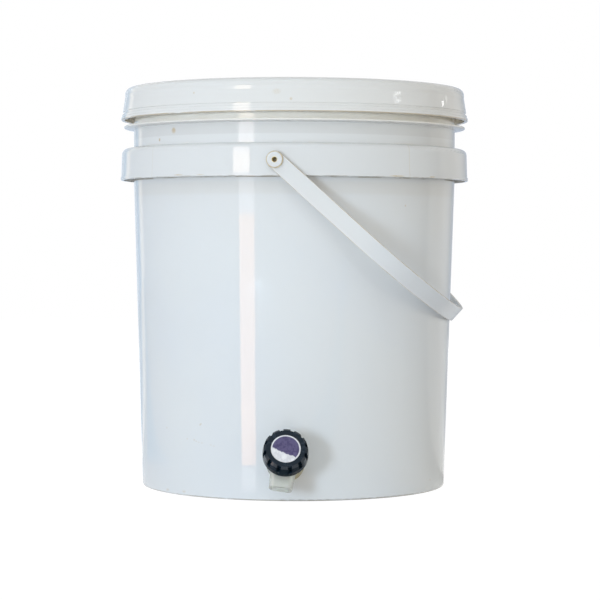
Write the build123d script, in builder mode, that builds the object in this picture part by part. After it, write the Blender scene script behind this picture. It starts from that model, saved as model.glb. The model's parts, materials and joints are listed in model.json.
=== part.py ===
from build123d import *
from math import acos, atan2, cos, degrees, hypot, radians, sin, sqrt, tan
import os

# Plastic bucket with a press-on lid, a carrying handle and a screw-down tap near the base.
# Millimetres, +Z up. The origin is the middle of the base, on the plane the bucket stands on.
# The handle's pins lie along Y. The tap is on the -Y side, a little towards +X.

# Bucket shell
rim_height = 351.5
base_radius = 136.35
wall_draft = 1.78
wall = 2.2
floor_thickness = 2.6
foot_height = 2.5
foot_width = 8.0
shell_edge_radius = 0.8
base_edge_radius = 2.0
floor_corner_radius = 6.0

# Lip around the rim, stop flange below the lid, and the hollow band that carries the handle
rim_lip_overhang = 5.0
rim_lip_height = 5.5
rim_lip_edge_radius = 1.6
flange_below_rim = 28.7
flange_overhang = 9.1
flange_thickness = 1.8
flange_slope_height = 1.0
flange_edge_radius = 0.9
band_below_rim = 49.0
band_height = 28.2
band_overhang = 11.5
band_draft = 2.0
band_wall = 2.2
band_corner_radius = 5.0
band_inner_corner_radius = 3.0
band_lip_height = 3.0
band_lip_depth = 0.4
ribs_per_side = 8
rib_thickness = 1.5

# Lid
gasket_thickness = 3.0
gasket_width = 6.0
lid_wall = 2.4
lid_plug_gap = 0.4
lid_plug_draft = 2.0
lid_recess_depth = 14.0
lid_step_height = 1.6
lid_step_radius = 112.0
lid_skirt_wall = 2.2
lid_skirt_gap = 0.8
lid_skirt_height = 28.9
lid_shoulder_radius = 5.5
lid_inner_edge_radius = 2.0
lid_straight_height = 8.5
lid_flare_height = 13.0
lid_flare = 2.1
lid_groove_height = 2.2
lid_groove_depth = 0.9
lid_band_step = 0.6
lid_bead_height = 2.9
lid_bead_overhang = 0.8
lid_small_radius = 0.6
snap_bead_height = 3.0
snap_bead_face = 1.0
snap_bead_gap = 0.4

# Handle and its pins
pivot_above_band = 13.4
handle_width = 14.8
handle_thickness = 2.6
handle_edge_radius = 0.7
handle_arm = 89.4
handle_corner_radius = 80.0
grip_flatness = 44.0
handle_side_gap = 0.6
handle_rest_gap = 0.25
pin_radius = 4.0
pin_hole_radius = 2.0
pin_head_margin = 0.2
pin_head_thickness = 1.6
pin_head_edge_radius = 0.5
pin_end_gap = 0.3
pin_barb_overhang = 0.7
pin_barb_length = 2.4
pin_slot_width = 1.2
pin_slot_length = 4.8
pivot_boss_radius = 7.5
pivot_boss_depth = 2.0

# Tap: the part that clamps through the wall
tap_azimuth = 3.2
tap_roll = 7.5
nut_floor_clearance = 5.65
shank_radius = 10.4
shank_bore_radius = 6.8
shank_tail = 3.0
shank_hole_gap = 0.4
tap_flange_radius = 16.4
tap_flange_thickness = 3.0
tap_flange_edge_radius = 0.8
outer_washer_radius = 16.0
outer_washer_thickness = 2.4
inner_washer_radius = 15.4
inner_washer_thickness = 3.0
nut_across_flats = 29.0
nut_height = 7.0
nut_chamfer = 1.2

# Tap: valve chamber and spout
valve_rise = 31.4
elbow_reach = 14.0
chamber_radius = 13.0
chamber_bore_radius = 9.3
thread_land_radius = 14.0
thread_land_chamfer = 0.8
seat_depth = 7.0
seat_hole_radius = 5.0
seat_height = 1.2
seat_land = 1.6
spout_root_width = 22.6
spout_root_depth = 11.4
spout_mouth_width = 19.6
spout_mouth_depth = 10.7
spout_wall = 1.9
spout_corner_radius = 4.6
spout_reach = 28.2
spout_knob_gap = 0.4
spout_edge_radius = 0.7

# Tap: plunger, seals and knob
valve_washer_radius = 7.8
valve_washer_thickness = 3.0
button_radius = 1.9
button_head_overhang = 0.8
button_head_thickness = 1.0
nose_radius = 7.4
nose_thickness = 2.0
stem_radius = 4.0
stem_length = 6.3
piston_length = 6.8
o_ring_radius = 1.15
o_ring_back_land = 1.6
stub_radius = 3.15
knob_play = 0.2
boss_floor_thickness = 2.0
boss_radius = 7.0
knob_radius = 19.1
knob_front_radius = 18.3
knob_depth = 14.6
knob_bevel = 2.0
knob_edge_radius = 0.5
knob_web = 1.8
knob_chamber_gap = 0.5
knob_lugs = 12
knob_slot_width = 3.4
knob_slot_depth = 2.8
knob_slot_length = 8.2
knob_clocking = 4.5
disc_radius = 12.3
disc_gap = 0.2
disc_thickness = 0.5
disc_recess_depth = 1.2
screw_radius = 1.5
screw_length = 7.0
screw_head_radius = 3.0
screw_head_thickness = 1.7
screw_washer_radius = 4.6
screw_washer_thickness = 0.8
screw_pocket_gap = 0.5

# Clearances of the fits
running_gap = 0.08
seal_gap = 0.05

# Heights and radii that follow from the sizes above
draft_slope = tan(radians(wall_draft))
band_slope = tan(radians(band_draft))
band_top = rim_height - band_below_rim
band_bottom = band_top - band_height
neck_radius = base_radius + band_bottom * draft_slope
neck_inner_radius = neck_radius - wall
neck_weld_radius = neck_radius - wall / 2
floor_top = foot_height + floor_thickness
floor_radius = base_radius + floor_top * draft_slope - wall
rim_lip_radius = neck_radius + rim_lip_overhang
rim_lip_bottom = rim_height - rim_lip_height
flange_top = rim_height - flange_below_rim
band_radius = neck_radius + band_overhang
band_top_radius = band_radius - band_height * band_slope


def rounded_outline(corners):
    """Close an outline through (radius, height, corner rounding) triples."""
    points = [(x, y) for x, y, rounding in corners]
    roundings = [rounding for x, y, rounding in corners]
    return FilletPolyline(*points, radius=roundings, close=True)


def axial_plane(plane):
    """The plane whose X runs along the given plane's normal and whose Y is its own Y."""
    return Plane(plane.origin, x_dir=plane.z_dir, z_dir=-plane.x_dir)


def axis_of(plane):
    return Axis(plane.origin, plane.z_dir)


# Places of the handle's two pivots, on the outside of the band
pivot_height = band_bottom + pivot_above_band
pin_head_radius = handle_width / 2 - pin_head_margin
pivot_band_radius = band_radius - pivot_above_band * band_slope
handle_inner_face = band_radius + band_lip_depth + handle_side_gap
front_pivot = Plane((0, -pivot_band_radius, pivot_height), x_dir=(1, 0, 0), z_dir=(0, -1, 0))
rear_pivot = Plane((0, pivot_band_radius, pivot_height), x_dir=(-1, 0, 0), z_dir=(0, 1, 0))

# Place of the tap, square to the leaning wall, and of its valve, tilted up from it
nut_corner_radius = nut_across_flats / sqrt(3)
tap_height = floor_top + floor_corner_radius + nut_corner_radius + nut_floor_clearance
tap_wall_radius = base_radius + tap_height * draft_slope
outward_x = sin(radians(tap_azimuth))
outward_y = -cos(radians(tap_azimuth))
lean = radians(wall_draft)
upright_tap_plane = Plane(
    (tap_wall_radius * outward_x, tap_wall_radius * outward_y, tap_height),
    x_dir=(-outward_y, outward_x, 0),
    z_dir=(outward_x * cos(lean), outward_y * cos(lean), -sin(lean)),
)
tap_plane = Plane(upright_tap_plane.location * Rotation(0, 0, -tap_roll))
valve_plane = Plane(tap_plane.offset(elbow_reach).location * Rotation(-valve_rise, 0, 0))
tap_axis = axis_of(tap_plane)
valve_axis = axis_of(valve_plane)

# Distances along the tap's shank, outwards from the outside of the wall
tap_flange_back = outer_washer_thickness
tap_flange_front = tap_flange_back + tap_flange_thickness
inner_washer_back = -(wall + inner_washer_thickness)
nut_back = inner_washer_back - nut_height
shank_end = nut_back - shank_tail
tap_hole_radius = shank_radius + shank_hole_gap

# Distances along the valve, outwards from the elbow
seat_face = seat_depth + seat_height
washer_front = seat_face + valve_washer_thickness
nose_front = washer_front + nose_thickness
piston_back = nose_front + stem_length
piston_front = piston_back + piston_length
groove_back = piston_back + o_ring_back_land
groove_width = 2 * (o_ring_radius + running_gap)
boss_back = piston_front + knob_play
boss_front = boss_back + boss_floor_thickness
stub_end = boss_front + knob_play
screw_head_back = stub_end + screw_washer_thickness
screw_head_front = screw_head_back + screw_head_thickness
disc_floor = screw_head_front + screw_pocket_gap
knob_front = disc_floor + disc_recess_depth
knob_back = knob_front - knob_depth
web_back = disc_floor - knob_web
chamber_front = web_back - knob_chamber_gap
spout_middle = knob_back - spout_knob_gap - spout_root_depth / 2

# Radii that fit one another in the valve
piston_radius = chamber_bore_radius - running_gap
o_ring_middle_radius = chamber_bore_radius - running_gap - o_ring_radius
groove_radius = o_ring_middle_radius - o_ring_radius - running_gap
knob_skirt_radius = thread_land_radius + running_gap
stub_hole_radius = stub_radius + running_gap
screw_pocket_radius = screw_washer_radius + screw_pocket_gap

# Ribs inside the handle band: the hollow under the band, kept only where radial plates cross it
rib_pitch = 180 / (ribs_per_side + 1)
rib_weld = band_wall / 2
rib_middle_radius = neck_radius + band_overhang / 2
with BuildPart() as band_ribs:
    with BuildSketch(Plane.XZ):
        with BuildLine():
            rounded_outline(
                [
                    (neck_weld_radius, band_bottom + band_lip_height, 0),
                    (band_radius - rib_weld, band_bottom + band_lip_height, 0),
                    (band_top_radius - rib_weld, band_top - rib_weld, band_corner_radius),
                    (neck_weld_radius, band_top - rib_weld, 0),
                ]
            )
        make_face()
    revolve(axis=Axis.Z)
    with BuildSketch(Plane.XY.offset(band_bottom)):
        for start_angle in (rib_pitch - 90, rib_pitch + 90):
            with PolarLocations(
                rib_middle_radius,
                ribs_per_side,
                start_angle=start_angle,
                angular_range=180 - 2 * rib_pitch,
                endpoint=True,
            ):
                Rectangle(2 * band_overhang, rib_thickness)
    extrude(amount=band_height, mode=Mode.INTERSECT)

# Bucket: one moulding of base, wall, rim lip, stop flange and handle band
with BuildPart() as bucket:
    with BuildSketch(Plane.XZ):
        with BuildLine():
            rounded_outline(
                [
                    (0, foot_height, 0),
                    (base_radius - foot_width, foot_height, shell_edge_radius),
                    (base_radius - foot_width, 0, shell_edge_radius),
                    (base_radius, 0, base_edge_radius),
                    (neck_radius, band_bottom, 0),
                    (neck_radius, rim_height, 0),
                    (neck_inner_radius, rim_height, shell_edge_radius),
                    (neck_inner_radius, band_bottom, 0),
                    (floor_radius, floor_top, floor_corner_radius),
                    (0, floor_top, 0),
                ]
            )
        make_face()
        with BuildLine():
            rounded_outline(
                [
                    (neck_weld_radius, rim_lip_bottom, 0),
                    (rim_lip_radius, rim_lip_bottom, rim_lip_edge_radius),
                    (rim_lip_radius, rim_height, rim_lip_edge_radius),
                    (neck_weld_radius, rim_height, 0),
                ]
            )
        make_face()
        with BuildLine():
            rounded_outline(
                [
                    (neck_weld_radius, flange_top - flange_thickness - flange_slope_height, 0),
                    (neck_radius + flange_overhang, flange_top - flange_thickness, flange_edge_radius),
                    (neck_radius + flange_overhang, flange_top, flange_edge_radius),
                    (neck_weld_radius, flange_top, 0),
                ]
            )
        make_face()
        with BuildLine():
            rounded_outline(
                [
                    (neck_weld_radius, band_top, 0),
                    (band_top_radius, band_top, band_corner_radius),
                    (band_radius - band_lip_height * band_slope, band_bottom + band_lip_height, 0),
                    (band_radius + band_lip_depth, band_bottom + band_lip_height, 0),
                    (band_radius + band_lip_depth, band_bottom, shell_edge_radius),
                    (band_radius - band_wall, band_bottom, 0),
                    (band_top_radius - band_wall, band_top - band_wall, band_inner_corner_radius),
                    (neck_weld_radius, band_top - band_wall, 0),
                ]
            )
        make_face()
    revolve(axis=Axis.Z)
    add(band_ribs.part)
    for pivot in (front_pivot, rear_pivot):
        with BuildSketch(pivot.offset(-band_wall / 2)):
            Circle(pivot_boss_radius)
        extrude(amount=-(band_wall / 2 + pivot_boss_depth))
        with BuildSketch(pivot.offset(band_wall)):
            Circle(pin_radius + running_gap)
        extrude(amount=-(2 * band_wall + pivot_boss_depth + pin_barb_length), mode=Mode.SUBTRACT)
    with BuildSketch(tap_plane.offset(tap_flange_back)):
        Circle(tap_hole_radius)
    extrude(amount=inner_washer_back - tap_flange_back, mode=Mode.SUBTRACT)

# Lid: a recessed panel, a plug wall inside the rim and a grooved skirt outside it
lid_top = rim_height + seal_gap + gasket_thickness + lid_wall
channel_roof = lid_top - lid_wall
panel_top = lid_top - lid_recess_depth
panel_bottom = panel_top - lid_wall
plug_radius = neck_inner_radius - lid_plug_gap
plug_foot_radius = plug_radius - lid_recess_depth * tan(radians(lid_plug_draft))
skirt_top_radius = rim_lip_radius + lid_skirt_gap + lid_skirt_wall
skirt_flare_radius = skirt_top_radius + lid_flare
skirt_band_radius = skirt_flare_radius + lid_band_step
skirt_bottom = lid_top - lid_skirt_height
flare_top = lid_top - lid_straight_height
groove_top = flare_top - lid_flare_height
groove_bottom = groove_top - lid_groove_height
snap_top = rim_lip_bottom - snap_bead_gap
snap_radius = rim_lip_radius + snap_bead_gap
with BuildPart() as lid:
    with BuildSketch(Plane.XZ):
        with BuildLine():
            rounded_outline(
                [
                    (0, panel_bottom + lid_step_height, 0),
                    (lid_step_radius, panel_bottom + lid_step_height, lid_small_radius),
                    (lid_step_radius + lid_step_height, panel_bottom, lid_small_radius),
                    (plug_foot_radius, panel_bottom, lid_wall / 2),
                    (plug_radius, channel_roof, 0),
                    (skirt_top_radius - lid_skirt_wall, channel_roof, 0),
                    (skirt_top_radius - lid_skirt_wall, flare_top, 0),
                    (skirt_flare_radius - lid_skirt_wall, groove_top, 0),
                    (skirt_band_radius - lid_skirt_wall, skirt_bottom, lid_small_radius),
                    (skirt_band_radius + lid_bead_overhang, skirt_bottom, lid_small_radius),
                    (skirt_band_radius + lid_bead_overhang, skirt_bottom + lid_bead_height, lid_small_radius),
                    (skirt_band_radius, skirt_bottom + lid_bead_height, 0),
                    (skirt_band_radius, groove_bottom, lid_small_radius),
                    (skirt_flare_radius - lid_groove_depth, groove_bottom, 0),
                    (skirt_flare_radius - lid_groove_depth, groove_top, 0),
                    (skirt_flare_radius, groove_top, lid_small_radius),
                    (skirt_top_radius, flare_top, 0),
                    (skirt_top_radius, lid_top, lid_shoulder_radius),
                    (plug_radius - lid_wall, lid_top, lid_inner_edge_radius),
                    (plug_foot_radius - lid_wall, panel_top, lid_small_radius),
                    (lid_step_radius + lid_step_height, panel_top, lid_small_radius),
                    (lid_step_radius, panel_top + lid_step_height, lid_small_radius),
                    (0, panel_top + lid_step_height, 0),
                ]
            )
        make_face()
        with BuildLine():
            Polyline(
                (skirt_flare_radius - lid_skirt_wall / 2, snap_top - snap_bead_height),
                (skirt_top_radius - lid_skirt_wall / 2, snap_top),
                (snap_radius, snap_top),
                (snap_radius, snap_top - snap_bead_face),
                close=True,
            )
        make_face()
    revolve(axis=Axis.Z)

# Gasket: a flat ring pressed between the roof of the lid's channel and the rim
gasket_middle_radius = (neck_inner_radius + rim_lip_radius) / 2
with BuildPart() as lid_gasket:
    with BuildSketch(Plane.XY.offset(channel_roof)):
        Circle(gasket_middle_radius + gasket_width / 2)
        Circle(gasket_middle_radius - gasket_width / 2, mode=Mode.SUBTRACT)
    extrude(amount=-gasket_thickness)

# Handle: straight arms, round corners and a gently bowed grip in one strip
half_span = handle_inner_face + handle_thickness / 2
grip_radius = half_span + grip_flatness
corner_turn = degrees(acos((half_span - handle_corner_radius) / (grip_radius - handle_corner_radius)))
grip_drop = (grip_radius - handle_corner_radius) * sin(radians(corner_turn))
handle_reach = handle_arm + grip_radius - grip_drop

# It droops until the lower inner edge of the grip comes to rest on the wall
rest_along = handle_reach - handle_thickness / 2
rest_across = handle_width / 2
rest_cosine = rest_along + draft_slope * rest_across
rest_sine = draft_slope * rest_along - rest_across
rest_radius = base_radius + draft_slope * pivot_height + handle_rest_gap
droop = degrees(atan2(rest_sine, rest_cosine) + acos(rest_radius / hypot(rest_cosine, rest_sine)))
droop_cosine = cos(radians(droop))
droop_sine = sin(radians(droop))
handle_plane = Plane(
    (0, 0, pivot_height), x_dir=(droop_cosine, 0, -droop_sine), z_dir=(droop_sine, 0, droop_cosine)
)
handle_side_plane = Plane(
    (0, 0, pivot_height), x_dir=(droop_cosine, 0, -droop_sine), z_dir=(0, -1, 0)
)
with BuildPart() as handle:
    with BuildSketch(handle_plane):
        with BuildLine() as handle_path:
            front_arm = Line((-handle_width, -half_span), (handle_arm, -half_span))
            front_corner = JernArc(front_arm @ 1, front_arm % 1, handle_corner_radius, corner_turn)
            grip = JernArc(front_corner @ 1, front_corner % 1, grip_radius, 180 - 2 * corner_turn)
            rear_corner = JernArc(grip @ 1, grip % 1, handle_corner_radius, corner_turn)
            Line(rear_corner @ 1, (-handle_width, half_span))
        trace(handle_path.line, handle_thickness)
    extrude(amount=handle_width, both=True)
    with BuildSketch(handle_side_plane):
        with BuildLine():
            eye = CenterArc((0, 0), handle_width / 2, 90, 180)
            Polyline(
                eye @ 1,
                (2 * handle_reach, -handle_width / 2),
                (2 * handle_reach, handle_width / 2),
                eye @ 0,
            )
        make_face()
    extrude(amount=2 * half_span, both=True, mode=Mode.INTERSECT)
    fillet(handle.edges(), handle_edge_radius)
    with BuildSketch(Plane((0, 0, pivot_height), x_dir=(1, 0, 0), z_dir=(0, -1, 0))):
        Circle(pin_radius + running_gap)
    extrude(amount=2 * half_span, both=True, mode=Mode.SUBTRACT)


def handle_pin(pivot):
    """A hollow pin: a flat head outside the handle, and slotted barbs behind the band."""
    head_back = handle_inner_face - pivot_band_radius + handle_thickness + pin_end_gap
    head_front = head_back + pin_head_thickness
    barb_front = -(band_wall + pivot_boss_depth + pin_end_gap)
    barb_back = barb_front - pin_barb_length
    barb_radius = pin_radius + pin_barb_overhang
    with BuildPart() as pin:
        with BuildSketch(axial_plane(pivot)):
            with BuildLine():
                rounded_outline(
                    [
                        (barb_back, pin_hole_radius, 0),
                        (barb_back, pin_radius - pin_barb_overhang, 0),
                        (barb_front, barb_radius, 0),
                        (barb_front, pin_radius, 0),
                        (head_back, pin_radius, 0),
                        (head_back, pin_head_radius, 0),
                        (head_front, pin_head_radius, pin_head_edge_radius),
                        (head_front, pin_hole_radius, pin_head_edge_radius),
                    ]
                )
            make_face()
        revolve(axis=axis_of(pivot))
        with BuildSketch(pivot.offset(barb_back)):
            Rectangle(2 * barb_radius, pin_slot_width)
            Rectangle(pin_slot_width, 2 * barb_radius)
        extrude(amount=pin_slot_length, mode=Mode.SUBTRACT)
    return pin


handle_pin_front = handle_pin(front_pivot)
handle_pin_rear = handle_pin(rear_pivot)

# Tap body: shank, flange, round elbow, valve chamber and spout, with the water way cut through them
spout_plane = Plane(
    valve_plane.offset(spout_middle).origin, x_dir=valve_plane.x_dir, z_dir=-valve_plane.y_dir
)
mouth_plane = spout_plane.offset(spout_reach)
with BuildPart() as tap_body:
    with BuildSketch(axial_plane(valve_plane)):
        with BuildLine():
            back = CenterArc((0, 0), chamber_radius, 90, 90)
            Polyline(
                back @ 1,
                (chamber_front, 0),
                (chamber_front, thread_land_radius - thread_land_chamfer),
                (chamber_front - thread_land_chamfer, thread_land_radius),
                (knob_back + thread_land_chamfer, thread_land_radius),
                (knob_back, chamber_radius),
                back @ 0,
            )
        make_face()
    revolve(axis=valve_axis)
    with BuildSketch(spout_plane):
        RectangleRounded(spout_root_width, spout_root_depth, spout_corner_radius)
    with BuildSketch(mouth_plane):
        RectangleRounded(spout_mouth_width, spout_mouth_depth, spout_corner_radius)
    loft()
    mouth = faces().sort_by(Axis(spout_plane.origin, spout_plane.z_dir))[-1]
    fillet(mouth.edges(), spout_edge_radius)
    split(bisect_by=tap_plane.offset(tap_flange_front), keep=Keep.TOP)
    with BuildSketch(axial_plane(tap_plane)):
        with BuildLine():
            rounded_outline(
                [
                    (shank_end, 0, 0),
                    (shank_end, shank_radius, tap_flange_edge_radius),
                    (tap_flange_back, shank_radius, 0),
                    (tap_flange_back, tap_flange_radius, tap_flange_edge_radius),
                    (tap_flange_front, tap_flange_radius, tap_flange_edge_radius),
                    (tap_flange_front, 0, 0),
                ]
            )
        make_face()
    revolve(axis=tap_axis)
    with BuildSketch(tap_plane.offset(shank_end)):
        Circle(shank_bore_radius)
    extrude(amount=elbow_reach - shank_end, mode=Mode.SUBTRACT)
    with BuildSketch(axial_plane(valve_plane)):
        with BuildLine():
            Polyline(
                (0, 0),
                (0, seat_hole_radius),
                (seat_face, seat_hole_radius),
                (seat_face, seat_hole_radius + seat_land),
                (seat_depth, seat_hole_radius + seat_land + seat_height),
                (seat_depth, chamber_bore_radius),
                (chamber_front, chamber_bore_radius),
                (chamber_front, 0),
                close=True,
            )
        make_face()
    revolve(axis=valve_axis, mode=Mode.SUBTRACT)
    with BuildSketch(spout_plane):
        RectangleRounded(
            spout_root_width - 2 * spout_wall,
            spout_root_depth - 2 * spout_wall,
            spout_corner_radius - spout_wall,
        )
    with BuildSketch(mouth_plane):
        RectangleRounded(
            spout_mouth_width - 2 * spout_wall,
            spout_mouth_depth - 2 * spout_wall,
            spout_corner_radius - spout_wall,
        )
    loft(mode=Mode.SUBTRACT)

# Washers that seal the tap to the round wall: flat against the tap, curved against the bucket
seal_top = 2 * tap_height
with BuildPart() as tap_outer_washer:
    with BuildSketch(tap_plane.offset(tap_flange_back)):
        Circle(outer_washer_radius)
        Circle(tap_hole_radius, mode=Mode.SUBTRACT)
    extrude(amount=-(outer_washer_thickness + wall))
    with BuildSketch(Plane.XZ):
        with BuildLine():
            Polyline(
                (0, 0),
                (base_radius + seal_gap, 0),
                (base_radius + seal_gap + seal_top * draft_slope, seal_top),
                (0, seal_top),
                close=True,
            )
        make_face()
    revolve(axis=Axis.Z, mode=Mode.SUBTRACT)

with BuildPart() as tap_inner_washer:
    with BuildSketch(tap_plane.offset(inner_washer_back)):
        Circle(inner_washer_radius)
        Circle(tap_hole_radius, mode=Mode.SUBTRACT)
    extrude(amount=inner_washer_thickness + wall)
    with BuildSketch(Plane.XZ):
        with BuildLine():
            Polyline(
                (0, 0),
                (base_radius - wall - seal_gap, 0),
                (base_radius - wall - seal_gap + seal_top * draft_slope, seal_top),
                (0, seal_top),
                close=True,
            )
        make_face()
    revolve(axis=Axis.Z, mode=Mode.INTERSECT)

# Lock nut: a hexagon with bevelled corners
with BuildPart() as tap_lock_nut:
    with BuildSketch(tap_plane.offset(inner_washer_back)):
        RegularPolygon(nut_across_flats / 2, 6, major_radius=False)
    extrude(amount=-nut_height)
    with BuildSketch(axial_plane(tap_plane)):
        with BuildLine():
            Polyline(
                (nut_back, 0),
                (nut_back, nut_corner_radius - nut_chamfer),
                (nut_back + nut_chamfer, nut_corner_radius),
                (inner_washer_back, nut_corner_radius),
                (inner_washer_back, 0),
                close=True,
            )
        make_face()
    revolve(axis=tap_axis, mode=Mode.INTERSECT)
    with BuildSketch(tap_plane.offset(inner_washer_back)):
        Circle(shank_radius + seal_gap)
    extrude(amount=-nut_height, mode=Mode.SUBTRACT)

# Plunger: a button for the rubber face, a nose plate, a stem, a grooved piston and a stub for the knob
button_head_back = seat_face - seal_gap - button_head_thickness
with BuildPart() as valve_plunger:
    with BuildSketch(axial_plane(valve_plane)):
        with BuildLine():
            Polyline(
                (button_head_back, 0),
                (button_head_back, button_radius),
                (seat_face - seal_gap, button_radius + button_head_overhang),
                (seat_face - seal_gap, button_radius),
                (washer_front, button_radius),
                (washer_front, nose_radius),
                (nose_front, nose_radius),
                (nose_front, stem_radius),
                (piston_back, stem_radius),
                (piston_back, piston_radius),
                (groove_back, piston_radius),
                (groove_back, groove_radius),
                (groove_back + groove_width, groove_radius),
                (groove_back + groove_width, piston_radius),
                (piston_front, piston_radius),
                (piston_front, stub_radius),
                (stub_end, stub_radius),
                (stub_end, 0),
                close=True,
            )
        make_face()
    revolve(axis=valve_axis)
    with BuildSketch(valve_plane.offset(stub_end)):
        Circle(screw_radius + running_gap)
    extrude(amount=-(screw_length + knob_play), mode=Mode.SUBTRACT)

# Rubber face that closes the seat
with BuildPart() as valve_washer:
    with BuildSketch(valve_plane.offset(seat_face)):
        Circle(valve_washer_radius)
        Circle(button_radius + running_gap, mode=Mode.SUBTRACT)
    extrude(amount=valve_washer_thickness)

# Ring seal in the piston's groove
with BuildPart() as plunger_o_ring:
    with BuildSketch(axial_plane(valve_plane)):
        with Locations((groove_back + groove_width / 2, o_ring_middle_radius)):
            Circle(o_ring_radius)
    revolve(axis=valve_axis)

# Knob: a lugged cap that screws over the chamber, with a boss that turns on the plunger's stub
with BuildPart() as tap_knob:
    with BuildSketch(axial_plane(valve_plane)):
        with BuildLine():
            rounded_outline(
                [
                    (knob_back, knob_skirt_radius, 0),
                    (knob_back, knob_radius, knob_edge_radius),
                    (knob_front - knob_slot_length, knob_radius, 0),
                    (knob_front - knob_bevel, knob_front_radius, 0),
                    (knob_front, knob_front_radius - knob_bevel, 0),
                    (knob_front, disc_radius + disc_gap, knob_edge_radius),
                    (disc_floor, disc_radius + disc_gap, 0),
                    (disc_floor, screw_pocket_radius, 0),
                    (boss_front, screw_pocket_radius, 0),
                    (boss_front, stub_hole_radius, 0),
                    (boss_back, stub_hole_radius, 0),
                    (boss_back, boss_radius, 0),
                    (web_back, boss_radius, 0),
                    (web_back, knob_skirt_radius, 0),
                ]
            )
        make_face()
    revolve(axis=valve_axis)
    with BuildSketch(valve_plane.offset(knob_front)):
        with PolarLocations(knob_radius, knob_lugs, start_angle=90 + 180 / knob_lugs + knob_clocking):
            Rectangle(2 * knob_slot_depth, knob_slot_width)
    extrude(amount=-knob_slot_length, mode=Mode.SUBTRACT)

# Disc set in the knob's face
with BuildPart() as knob_disc:
    with BuildSketch(valve_plane.offset(disc_floor)):
        Circle(disc_radius)
    extrude(amount=disc_thickness)

# Screw and washer that keep the knob on the plunger
with BuildPart() as knob_screw:
    with BuildSketch(valve_plane.offset(screw_head_back)):
        Circle(screw_head_radius)
    extrude(amount=screw_head_thickness)
    with BuildSketch(valve_plane.offset(screw_head_back)):
        Circle(screw_radius)
    extrude(amount=-screw_length)

with BuildPart() as knob_screw_washer:
    with BuildSketch(valve_plane.offset(stub_end)):
        Circle(screw_washer_radius)
        Circle(screw_radius + running_gap, mode=Mode.SUBTRACT)
    extrude(amount=screw_washer_thickness)

# One file for each piece
pieces = {
    "bucket": bucket,
    "lid": lid,
    "lid_gasket": lid_gasket,
    "handle": handle,
    "handle_pin_front": handle_pin_front,
    "handle_pin_rear": handle_pin_rear,
    "tap_body": tap_body,
    "tap_outer_washer": tap_outer_washer,
    "tap_inner_washer": tap_inner_washer,
    "tap_lock_nut": tap_lock_nut,
    "tap_knob": tap_knob,
    "knob_disc": knob_disc,
    "valve_plunger": valve_plunger,
    "valve_washer": valve_washer,
    "plunger_o_ring": plunger_o_ring,
    "knob_screw": knob_screw,
    "knob_screw_washer": knob_screw_washer,
}
os.makedirs("parts", exist_ok=True)
for name, piece in pieces.items():
    piece.part.label = name
    export_step(piece.part, f"parts/{name}.step")
print(f"handle droops {droop:.3f} degrees at rest and reaches {handle_reach:.2f} mm")
print(f"valve axis from {tuple(valve_plane.origin)} along {tuple(valve_plane.z_dir)}")
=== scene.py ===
import json
import math

import bpy
from mathutils import Matrix, Vector


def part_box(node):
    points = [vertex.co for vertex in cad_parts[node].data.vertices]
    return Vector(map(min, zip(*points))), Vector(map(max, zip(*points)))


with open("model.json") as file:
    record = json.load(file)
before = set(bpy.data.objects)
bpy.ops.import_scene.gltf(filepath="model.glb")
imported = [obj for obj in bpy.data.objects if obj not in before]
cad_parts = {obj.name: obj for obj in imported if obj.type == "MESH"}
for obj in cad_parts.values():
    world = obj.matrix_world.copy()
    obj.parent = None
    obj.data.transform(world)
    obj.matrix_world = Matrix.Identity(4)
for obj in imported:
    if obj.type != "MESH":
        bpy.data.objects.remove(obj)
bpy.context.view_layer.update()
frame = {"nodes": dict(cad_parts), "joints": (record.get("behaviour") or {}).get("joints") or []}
nodes = frame["nodes"]
joints = {joint["name"]: joint for joint in frame["joints"]}
scene = bpy.context.scene
scene.view_settings.view_transform = "Standard"

# Edges of the bucket and the lid, in metres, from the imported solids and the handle's pivot
RIM_ABOVE_FLANGE = 0.030
PIVOT_ABOVE_BAND_EDGE = 0.0134
BAND_HEIGHT = 0.0282
lid_low, lid_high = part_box("lid")
bucket_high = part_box("bucket")[1]
lid_edge_z, lid_top_z = lid_low.z, lid_high.z
band_radius = bucket_high.x
flange_z = bucket_high.z - RIM_ABOVE_FLANGE
pivot_z = joints["handle_swing"]["pos_m"][2]
band_edge_z = pivot_z - PIVOT_ABOVE_BAND_EDGE
band_top_z = band_edge_z + BAND_HEIGHT

# Directions on the knob's disc and across the hanging handle
UP = Vector((0, 0, 1))
HANDLE_DROOP = math.radians(41.96)
valve_origin = Vector(joints["knob_turn"]["pos_m"])
valve_axis = Vector(joints["knob_turn"]["axis"]).normalized()
disc_right = UP.cross(valve_axis).normalized()
disc_up = valve_axis.cross(disc_right)
handle_across = Vector((math.sin(HANDLE_DROOP), 0, math.cos(HANDLE_DROOP)))


def point_round(angle, z, radius):
    """A point round the bucket's axis: angle in degrees from the front (-Y) towards +X."""
    turn = math.radians(angle)
    return (radius * math.sin(turn), -radius * math.cos(turn), z)


# Small helpers for shader nodes

def add(tree, kind, inputs=None, **settings):
    """Add a node, set its own properties and its inputs; an input may be a socket to link."""
    made = tree.nodes.new(kind)
    for key, value in settings.items():
        setattr(made, key, value)
    for key, value in (inputs or {}).items():
        put(tree, made.inputs[key], value)
    return made


def put(tree, socket, value):
    """Link a socket to an input, or set the input to a plain value."""
    if isinstance(value, bpy.types.NodeSocket):
        tree.links.new(value, socket)
    else:
        socket.default_value = value


def maths(tree, operation, first, second=0.0, clamp=False):
    inputs = {0: first, 1: second}
    return add(tree, "ShaderNodeMath", inputs, operation=operation, use_clamp=clamp).outputs[0]


def times(tree, first, second):
    return maths(tree, "MULTIPLY", first, second)


def vectors(tree, operation, *inputs):
    """A vector made from one or two vectors."""
    return add(tree, "ShaderNodeVectorMath", dict(enumerate(inputs)), operation=operation).outputs["Vector"]


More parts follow.
